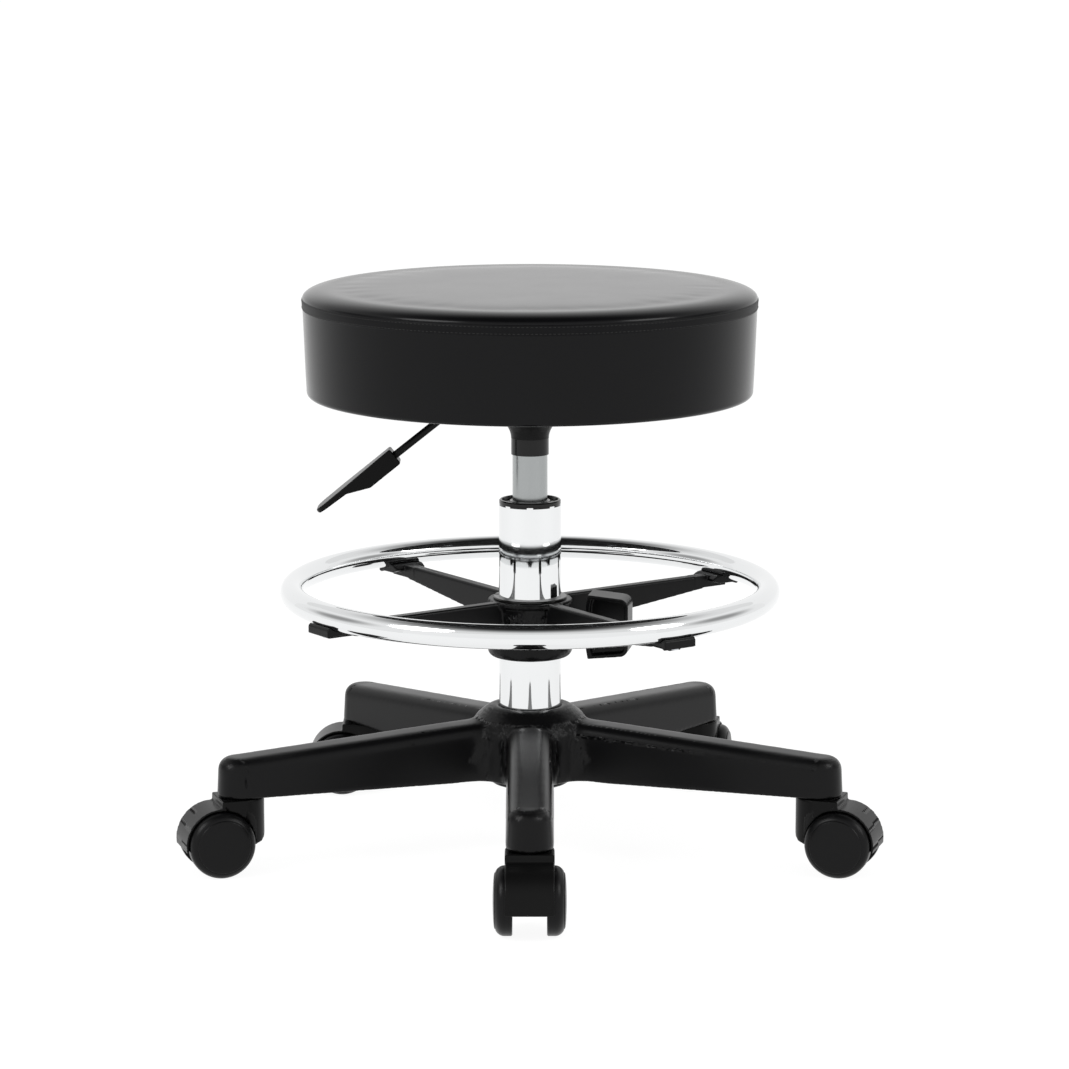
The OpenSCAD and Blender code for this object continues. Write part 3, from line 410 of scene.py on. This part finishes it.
def plywood():
    finish, tree, shader = newFinish("plywood", Roughness=0.7, Specular_IOR_Level=0.3)
    where = addNode(tree, "ShaderNodeTexCoord").outputs["Object"]
    long = addNode(tree, "ShaderNodeMapping", {"Vector": where, "Scale": (3.0, 40.0, 60.0)}).outputs["Vector"]
    figure = noise(tree, long, 4.0, 8.0).outputs["Fac"]
    feed(tree, shader, Base_Color=twoTone(tree, figure, (0.42, 0.27, 0.14), (0.72, 0.55, 0.34)))
    return finish


def foam():
    finish, tree, shader = newFinish("foam", Roughness=0.95, Base_Color=(0.78, 0.70, 0.48, 1))
    where = addNode(tree, "ShaderNodeTexCoord").outputs["Object"]
    cells = addNode(tree, "ShaderNodeTexVoronoi", {"Vector": where, "Scale": 900.0}).outputs["Distance"]
    bump = addNode(tree, "ShaderNodeBump", {"Height": cells, "Distance": 0.0008}).outputs["Normal"]
    feed(tree, shader, Normal=bump)
    return finish


finishes = {
    "vinyl": seatVinyl("seatVinyl", gloss=0.17, specular=0.152),
    "seamVinyl": seatVinyl("seamVinyl", gloss=0.44, specular=0.12),
    "dustFabric": dustFabric(),
    "plywood": plywood(),
    "foam": foam(),
    "nylon": grainFinish("blackNylon", (0.004, 0.004, 0.0043), gloss=0.31, scale=1400.0,
                         depth=0.000006, Specular_IOR_Level=0.16),
    "casterNylon": grainFinish("casterNylon", (0.005, 0.005, 0.005), gloss=0.30, scale=1600.0,
                               depth=0.000005, Specular_IOR_Level=0.11),
    "gloss": grainFinish("blackGloss", (0.005, 0.005, 0.005), gloss=0.16, scale=600.0,
                         depth=0.000002, glossSpread=0.05, Specular_IOR_Level=0.3),
    "handle": grainFinish("handlePlastic", (0.004, 0.004, 0.004), gloss=0.26, scale=900.0,
                          depth=0.000003, Specular_IOR_Level=0.10),
    "powder": grainFinish("blackPowder", (0.004, 0.004, 0.004), gloss=0.38, scale=2400.0,
                          depth=0.00001, Specular_IOR_Level=0.16),
    "thread": grainFinish("blackThread", (0.012, 0.012, 0.012), gloss=0.55, scale=4000.0, depth=0.00005),
    "acetal": grainFinish("whiteAcetal", (0.80, 0.80, 0.77), gloss=0.40, scale=900.0, depth=0.00001),
    "chrome": metalFinish("brightChrome", (0.81, 0.82, 0.825), gloss=0.045, glossSpread=0.02,
                          scale=500.0, depth=0.0000015),
    "satin": metalFinish("satinTube", (0.37, 0.385, 0.385), gloss=0.24, glossSpread=0.12,
                         scale=1400.0, depth=0.000012),
    "ground": metalFinish("groundSteel", (0.62, 0.63, 0.64), gloss=0.16, glossSpread=0.08,
                          scale=1200.0, depth=0.000004),
    "zinc": metalFinish("zincPlate", (0.58, 0.60, 0.63), gloss=0.28, glossSpread=0.12,
                        scale=500.0, depth=0.00001),
    "aluminium": metalFinish("turnedAluminium", (0.72, 0.73, 0.74), gloss=0.26, glossSpread=0.10,
                             scale=1200.0, depth=0.00001),
}
slotFinish = {
    "black_nylon": "nylon", "bright_chrome": "chrome", "satin_steel": "satin", "ground_steel": "ground",
    "black_steel": "powder", "black_gloss": "gloss", "zinc_steel": "zinc", "black_vinyl": "vinyl",
    "dust_fabric": "dustFabric", "foam": "foam", "plywood": "plywood", "aluminium": "aluminium",
    "acetal": "acetal",
}
nodeSlot = {part["node"]: part["material_slot"] for part in frame["record"]["subparts"]}
for node in nodes:
    paint(node, finishes[slotFinish[nodeSlot[node]]])
print("finishes made:", len(finishes))


# seat

coverLow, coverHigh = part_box("seat_cover")
seat = {
    "radius": coverHigh.x, "lowRadius": 177.5 * mm, "top": coverHigh.z, "bottom": coverLow.z,
    "shoulderWide": 20 * mm, "shoulderHigh": 8 * mm, "hemRound": 4 * mm,
    "bandLow": 440.6 * mm, "bandHigh": 449.2 * mm, "bandProud": 0.5 * mm,
}


def sideRadius(height):
    # the side leans out from the lower edge to the seam
    share = (height - seat["bottom"]) / (seat["bandHigh"] - seat["bottom"])
    return seat["lowRadius"] + (seat["radius"] - seat["lowRadius"]) * share


pad = {
    "inset": 0.6 * mm, "panelStep": 0.9 * mm, "steps": 192, "relax": 4, "fill": 0.9,
    "hemSteps": 5, "sideHeights": (0.40, 0.42, 0.435), "shoulderSteps": 10,
    "topShares": (0.82, 0.75, 0.65, 0.54, 0.42, 0.3, 0.18, 0.08),
    "frames": 20, "pressure": 0.15, "swellCap": 1.5 * mm,
}


def padProfile(inset):
    # below the seam the pad stands back behind the side panel
    bend, wide, high = seat["hemRound"], seat["shoulderWide"], seat["shoulderHigh"]
    back = inset + pad["panelStep"]
    low = arcPoints(seat["lowRadius"] - bend, seat["bottom"] + bend, bend - back, -90, 0, pad["hemSteps"])
    side = [(sideRadius(z) - back, z) for z in pad["sideHeights"]]
    turn = [math.radians(90 / pad["shoulderSteps"] * i) for i in range(pad["shoulderSteps"] + 1)]
    shoulder = [(seat["radius"] - wide + (wide - inset) * math.cos(a),
                 seat["top"] - high + (high - inset) * math.sin(a)) for a in turn]
    top = [(seat["radius"] * share, seat["top"] - inset) for share in pad["topShares"]]
    return [(0, seat["bottom"] + back)] + low + side + shoulder + top + [(0, seat["top"] - inset)]


def heldByThread(point):
    # the seam and the lower edge hold the cover where they are
    edge = math.hypot(point.x, point.y) > seat["lowRadius"] - seat["shoulderWide"] / 2
    seam = seat["bandLow"] < point.z < seat["bandHigh"]
    return point.z < seat["bottom"] + 2 * seat["hemRound"] or (seam and edge)


def swellPad(piece):
    # lets the cover swell over its foam as cloth under a little pressure, and keeps the result
    start = [v.co.copy() for v in piece.data.vertices]
    sewn = piece.vertex_groups.new(name="sewn")
    sewn.add([v.index for v in piece.data.vertices if heldByThread(v.co)], 1.0, "REPLACE")
    cloth = addModifier(piece, "CLOTH")
    cloth.settings.vertex_group_mass = sewn.name
    cloth.settings.use_pressure = True
    cloth.settings.uniform_pressure_force = pad["pressure"]
    cloth.settings.effector_weights.gravity = 0
    scene = bpy.context.scene
    for step in range(1, pad["frames"] + 1):
        scene.frame_set(step)
    applyModifiers(piece)
    scene.frame_set(1)
    for vertex, before in zip(piece.data.vertices, start):
        way = vertex.co - before
        if way.length > pad["swellCap"]:
            vertex.co = before + way.normalized() * pad["swellCap"]


def makePad():
    piece = lathe("seatPad", padProfile(pad["inset"]), pad["steps"], closed=False)
    cutOut = lathe("cutOut", padProfile(0), 2 * pad["steps"], closed=False)
    swellPad(piece)
    addModifier(piece, "SMOOTH", factor=0.5, iterations=pad["relax"])
    addModifier(piece, "SUBSURF", levels=1, render_levels=1)
    applyModifiers(piece)
    wrapOn(piece, cutOut, "OUTSIDE")
    bpy.data.objects.remove(cutOut)
    smoothBy(piece, softAngle)
    place(piece, "seat", finishes["vinyl"], ("seat_cover", "seat_foam"))


band = {"edge": 1.2 * mm, "edgeSteps": 5, "tuck": 4.8 * mm, "steps": 256}


def makeBand():
    # the folded seam between the top and the side, a flat band whose two edges turn in
    edge, steps, low, high = band["edge"], band["edgeSteps"], seat["bandLow"], seat["bandHigh"]
    outLow, outHigh = (sideRadius(z) + seat["bandProud"] for z in (low, high))
    profile = ([(outLow - band["tuck"], low)]
               + arcPoints(outLow - edge, low + edge, edge, -90, 0, steps)
               + arcPoints(outHigh - edge, high - edge, edge, 0, 90, steps)
               + [(outHigh - band["tuck"], high)])
    piece = lathe("seatBand", profile, band["steps"])
    place(piece, "seat", finishes["seamVinyl"])


panel = {
    "thick": 1.4 * mm, "hemDeep": 24 * mm, "hemSteps": 10, "hemStep": 2 * mm, "bendSteps": 8,
    "sideHeights": (0.39, 0.41, 0.43), "steps": 504,
    "pleats": 84, "pleatDeep": 1.1 * mm, "pleatFade": 8 * mm, "pleatSharp": 3, "shallowest": 0.3,
}


def makePanel():
    # the cover's side panel, whose lower edge is pulled in under the seat in small pleats
    low, radius, bend = seat["bottom"], seat["lowRadius"], seat["hemRound"]
    thick, top, hem = panel["thick"], seat["bandLow"] + band["edge"], radius - panel["hemDeep"]
    outer = ([(hem + i * panel["hemStep"], low) for i in range(panel["hemSteps"])]
             + arcPoints(radius - bend, low + bend, bend, -90, 0, panel["bendSteps"])
             + [(sideRadius(z), z) for z in (*panel["sideHeights"], top)])
    inner = [(sideRadius(top) - thick, top), (radius - thick, low + bend), (radius - bend, low + thick),
             (hem, low + thick)]
    piece = lathe("seatPanel", outer + inner, panel["steps"])
    random.seed(7)
    lean = [random.uniform(panel["shallowest"], 1.0) for pleat in range(panel["pleats"])]
    for vertex in piece.data.vertices:
        out = math.hypot(vertex.co.x, vertex.co.y)
        if vertex.co.z < low + thick / 2 and out < radius - bend:
            share = (math.atan2(vertex.co.y, vertex.co.x) / fullTurn % 1.0) * panel["pleats"]
            fold = (0.5 - 0.5 * math.cos(fullTurn * share)) ** panel["pleatSharp"]
            fold *= lean[int(share) % panel["pleats"]] * min(1.0, (radius - bend - out) / panel["pleatFade"])
            vertex.co.z += fold * panel["pleatDeep"]
    place(piece, "seat", finishes["vinyl"])


clothLow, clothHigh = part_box("dust_cloth")
staples = {"count": 42, "long": 10.0 * mm, "wire": 0.9 * mm, "round": 0.25 * mm,
           "radius": clothHigh.x - 5.5 * mm, "height": clothLow.z + 0.7 * mm}
underCloth = {"edge": clothHigh.x, "low": clothLow.z, "thick": 0.8 * mm, "dish": 1.0 * mm, "rings": 14,
              "steps": 336, "waves": 5, "waveLong": (2, 9), "waveHigh": 0.5 * mm, "pullFrom": 0.85}


def makeDustCloth():
    # black cloth under the seat, stapled round its edge, which sags a little between the staples
    edge, low, dish, rings = (underCloth[key] for key in ("edge", "low", "dish", "rings"))
    under = [(edge * i / rings, low + dish * (i / rings) ** 2) for i in range(rings + 1)]
    upper = [(radius, low + dish + underCloth["thick"]) for radius in (edge, 0)]
    piece = lathe("dustCloth", under + upper, underCloth["steps"], closed=False)
    random.seed(11)
    waves = [(random.randint(*underCloth["waveLong"]), random.uniform(0, fullTurn))
             for i in range(underCloth["waves"])]
    pullFrom = underCloth["pullFrom"]
    for vertex in piece.data.vertices:
        out = math.hypot(vertex.co.x, vertex.co.y) / edge
        angle = math.atan2(vertex.co.y, vertex.co.x)
        ripple = sum(math.cos(n * angle + shift) for n, shift in waves) / len(waves)
        pull = math.cos(staples["count"] * angle) * max(0.0, out - pullFrom) / (1 - pullFrom)
        if vertex.co.z < low + 1.1 * dish:
            lift = 2 * ripple * out * (1 - out) - 0.3 * pull + 0.5
            vertex.co.z += underCloth["waveHigh"] * lift
    place(piece, "seat", finishes["dustFabric"], ("dust_cloth",))


def makeStaples():
    deselectAll()
    bpy.ops.mesh.primitive_cube_add(size=1, location=(staples["radius"], 0, staples["height"]))
    piece = bpy.context.object
    piece.name = "staples"
    piece.scale = (staples["wire"], staples["long"], staples["wire"])
    settle(piece)
    addModifier(piece, "BEVEL", width=staples["round"], segments=2, limit_method="ANGLE",
                angle_limit=math.radians(edgeAngle), harden_normals=False)
    applyModifiers(piece)
    smoothBy(piece)
    ringOf(piece, staples["count"])
    smoothBy(piece)
    place(piece, "seat", finishes["zinc"])


stitches = {"pitch": 3.4 * mm, "long": 2.3 * mm, "wide": 0.42 * mm, "inset": 1.7 * mm}


def makeStitches(name, height):
    # one stitch, then the rest by turning it about the column's axis
    radius = sideRadius(height) + seat["bandProud"]
    count = round(fullTurn * radius / stitches["pitch"])
    deselectAll()
    bpy.ops.mesh.primitive_uv_sphere_add(segments=8, ring_count=6, radius=0.5, location=(radius, 0, height))
    piece = bpy.context.object
    piece.name = name
    piece.scale = (stitches["wide"], stitches["long"], stitches["wide"])
    settle(piece)
    ringOf(piece, count)
    smoothBy(piece, softAngle)
    place(piece, "seat", finishes["thread"])


makePad()
makePanel()
makeBand()
makeDustCloth()
makeStaples()
makeStitches("stitchesLow", seat["bandLow"] + stitches["inset"])
makeStitches("stitchesHigh", seat["bandHigh"] - stitches["inset"])
print("seat made")


# moulded parts; the outlines are (distance, height) in mm

spider = {
    "voxel": 1.0 * mm, "passes": 2, "cut": 171 * mm, "cutFar": 230 * mm, "cutLow": 180 * mm,
    "cutHigh": 240 * mm, "first": 35, "count": 4,
    "ringRadius": 191 * mm, "ringHeight": 213 * mm, "tubeRadius": 9.55 * mm, "grip": (222, 318),
    "plateWide": 29 * mm, "ribWide": 11 * mm,
    "plateIn": [(175, 203.6), (179, 205.8)],
    "plateOut": [(199.8, 205.6), (200.6, 204.4), (200.6, 198.6), (198.4, 198.2), (196.4, 199.4),
                 (181, 199.6), (175, 202)],
    "rib": [(162, 196), (194, 196), (194, 204), (175, 205.8), (162, 205.8)],
}


def makeSpider():
    # the spider's CAD copy with its saddle blocks cut off, and thin cradle plates on ribs in their place
    near, far, low, high = (spider[key] for key in ("cut", "cutFar", "cutLow", "cutHigh"))
    trim = lathe("trim", [(near, low), (far, low), (far, high), (near, high)], 64)
    hollow = arcPoints(spider["ringRadius"], spider["ringHeight"], spider["tubeRadius"], *spider["grip"], 10)
    cradle = inMm(spider["plateIn"]) + hollow + inMm(spider["plateOut"])
    rib = inMm(spider["rib"])
    kinds = (("cradle", cradle, spider["plateWide"]), ("rib", rib, spider["ribWide"]))
    added = []
    for k in range(spider["count"]):
        angle = spider["first"] + 360 / spider["count"] * k
        for name, outline, width in kinds:
            added.append(turned(slab(name + str(k), outline, width), angle))
    piece = mouldedCopy("ringSpider", "ring_spider", spider["voxel"], spider["passes"], trim, added)
    place(piece, "foot_ring", finishes["nylon"], ("ring_spider",))


star = {"voxel": 1.6 * mm, "passes": 12, "hubIn": 32 * mm, "hubOut": 72 * mm, "fadeIn": 6 * mm,
        "fadeOut": 22 * mm, "hubPasses": 22}


def makeStar():
    # the base, whose arms flow into the hub
    piece = mouldedCopy("starBase", "base_star", star["voxel"], star["passes"])
    group = piece.vertex_groups.new(name="hub")
    for vertex in piece.data.vertices:
        out = math.hypot(vertex.co.x, vertex.co.y)
        if star["hubIn"] < out < star["hubOut"]:
            share = min(1.0, (out - star["hubIn"]) / star["fadeIn"], (star["hubOut"] - out) / star["fadeOut"])
            group.add([vertex.index], share, "REPLACE")
    relax(piece, star["hubPasses"], vertex_group="hub")
    place(piece, "base", finishes["nylon"], ("base_star",))


def makeMoulded(name, node, voxel, body, finish):
    piece = mouldedCopy(name, node, voxel, 2)
    place(piece, body, finishes[finish], (node,))


makeSpider()
makeStar()
makeMoulded("leverHandle", "lever_handle", 0.8 * mm, "lever", "handle")
makeMoulded("clampKnob", "clamp_knob", 0.9 * mm, "clamp_knob", "nylon")
for k in range(1, 6):
    makeMoulded(f"casterHousing{k}", f"caster_housing_{k}", 1.3 * mm, f"caster_{k}", "casterNylon")
print("moulded parts made")


# the room: camera, floor and light

room = {
    "eye": (0.0036, -3.156, 0.8265), "tilt": 10.22, "lens": 134.8, "sensor": 36, "farthest": 100,
    "skyLight": 0.55, "skySeen": 1.0,
    "floorWidth": 60.0, "floorTone": 0.86, "floorGlow": 0.80, "floorStrength": 1.16,
    # where the painted reflection planes fade from their centre tone to their rim tone
    "paintedGlowCentre": 0.06, "paintedGlowRim": 0.38, "lampTarget": (0, 0, 0.3),
}


def makeCamera():
    eye = bpy.data.cameras.new("camera")
    camera = bpy.data.objects.new("camera", eye)
    bpy.context.scene.collection.objects.link(camera)
    camera.location = room["eye"]
    camera.rotation_euler = (math.radians(90 - room["tilt"]), 0, 0)
    eye.lens = room["lens"]
    eye.sensor_width = room["sensor"]
    eye.clip_end = room["farthest"]
    bpy.context.scene.camera = camera


def seenDirectly(tree):
    # 1 for the camera, mirror reflections and glass, 0 for the light that falls on things
    path = addNode(tree, "ShaderNodeLightPath").outputs
    seen = path["Is Camera Ray"]
    for ray in ("Is Glossy Ray", "Is Transmission Ray"):
        seen = addNode(tree, "ShaderNodeMath", {0: seen, 1: path[ray]}, operation="MAXIMUM").outputs[0]
    return seen


def emptyTree(owner):
    owner.use_nodes = True
    owner.node_tree.nodes.clear()
    return owner.node_tree


def makeWorld():
    world = bpy.data.worlds.new("studio")
    bpy.context.scene.world = world
    tree = emptyTree(world)
    fill, seen = (addNode(tree, "ShaderNodeBackground", {"Color": (1, 1, 1, 1),
                                                         "Strength": room[key]}).outputs[0]
                  for key in ("skyLight", "skySeen"))
    mix = addNode(tree, "ShaderNodeMixShader", {0: seenDirectly(tree), 1: fill, 2: seen}).outputs[0]
    addNode(tree, "ShaderNodeOutputWorld", {"Surface": mix})


def stagePlane(name, size, **where):
    deselectAll()
    bpy.ops.mesh.primitive_plane_add(size=size, **where)
    piece = bpy.context.object
    piece.name = name
    finish = bpy.data.materials.new(name)
    piece.data.materials.append(finish)
    return piece, emptyTree(finish)


def makeFloor():
    floor, tree = stagePlane("floor", room["floorWidth"])
    tone = (room["floorTone"],) * 3 + (1,)
    plain = addNode(tree, "ShaderNodeBsdfDiffuse", {"Color": tone}).outputs[0]
    white = addNode(tree, "ShaderNodeEmission", {"Color": (1, 1, 1, 1),
                                                 "Strength": room["floorStrength"]}).outputs[0]
    share = addNode(tree, "ShaderNodeMath", {0: seenDirectly(tree), 1: room["floorGlow"]},
                    operation="MULTIPLY").outputs[0]
    mix = addNode(tree, "ShaderNodeMixShader", {0: share, 1: plain, 2: white}).outputs[0]
    addNode(tree, "ShaderNodeOutputMaterial", {"Surface": mix})


def makePaintedReflection(name, location, turn, size, centre, edge):
    # a plane that only mirror reflections see, glowing from a centre tone to a rim tone: painted reflections
    # of a studio round a product
    reflectionSheet, tree = stagePlane(name, 1, location=location, rotation=[math.radians(a) for a in turn])
    reflectionSheet.scale = (*size, 1)
    where = addNode(tree, "ShaderNodeTexCoord").outputs["Object"]
    out = addNode(tree, "ShaderNodeVectorMath", {0: where}, operation="LENGTH").outputs["Value"]
    tone = addNode(tree, "ShaderNodeMapRange",
                   {"Value": out, "From Min": room["paintedGlowCentre"], "From Max": room["paintedGlowRim"],
                    "To Min": centre, "To Max": edge},
                   interpolation_type="SMOOTHSTEP").outputs["Result"]
    glow = addNode(tree, "ShaderNodeEmission", {"Strength": tone}).outputs[0]
    addNode(tree, "ShaderNodeOutputMaterial", {"Surface": glow})
    for way in ("camera", "diffuse", "transmission", "volume_scatter", "shadow"):
        setattr(reflectionSheet, "visible_" + way, False)


def makeLamp(name, location, size, power):
    lamp = bpy.data.lights.new(name, "AREA")
    lamp.shape = "DISK"
    lamp.size = size
    lamp.energy = power
    holder = bpy.data.objects.new(name, lamp)
    bpy.context.scene.collection.objects.link(holder)
    holder.location = location
    way = Vector(room["lampTarget"]) - Vector(location)
    holder.rotation_euler = way.to_track_quat("-Z", "Y").to_euler()


makeCamera()
makeWorld()
makeFloor()
# planes that glow only in reflections: a painted dark ceiling with a bright rim overhead, and painted grey
# sides left and right
makePaintedReflection("overheadPaintedReflection", (0, 0, 2.4), (0, 0, 0), (7.0, 7.0), centre=0.02, edge=0.85)
makePaintedReflection("leftPaintedReflection", (-2.6, 0.3, 1.0), (0, 90, 0), (2.6, 4.0), centre=0.35, edge=0.95)
makePaintedReflection("rightPaintedReflection", (2.6, 0.3, 1.0), (0, 90, 0), (2.6, 4.0), centre=0.35, edge=0.95)
makeLamp("softboxLeft", (-1.9, -1.3, 1.9), size=1.4, power=26)
makeLamp("softboxRight", (2.1, -1.0, 1.7), size=1.2, power=18)
bpy.context.scene.view_settings.view_transform = "Standard"
print("camera, floor and light made")
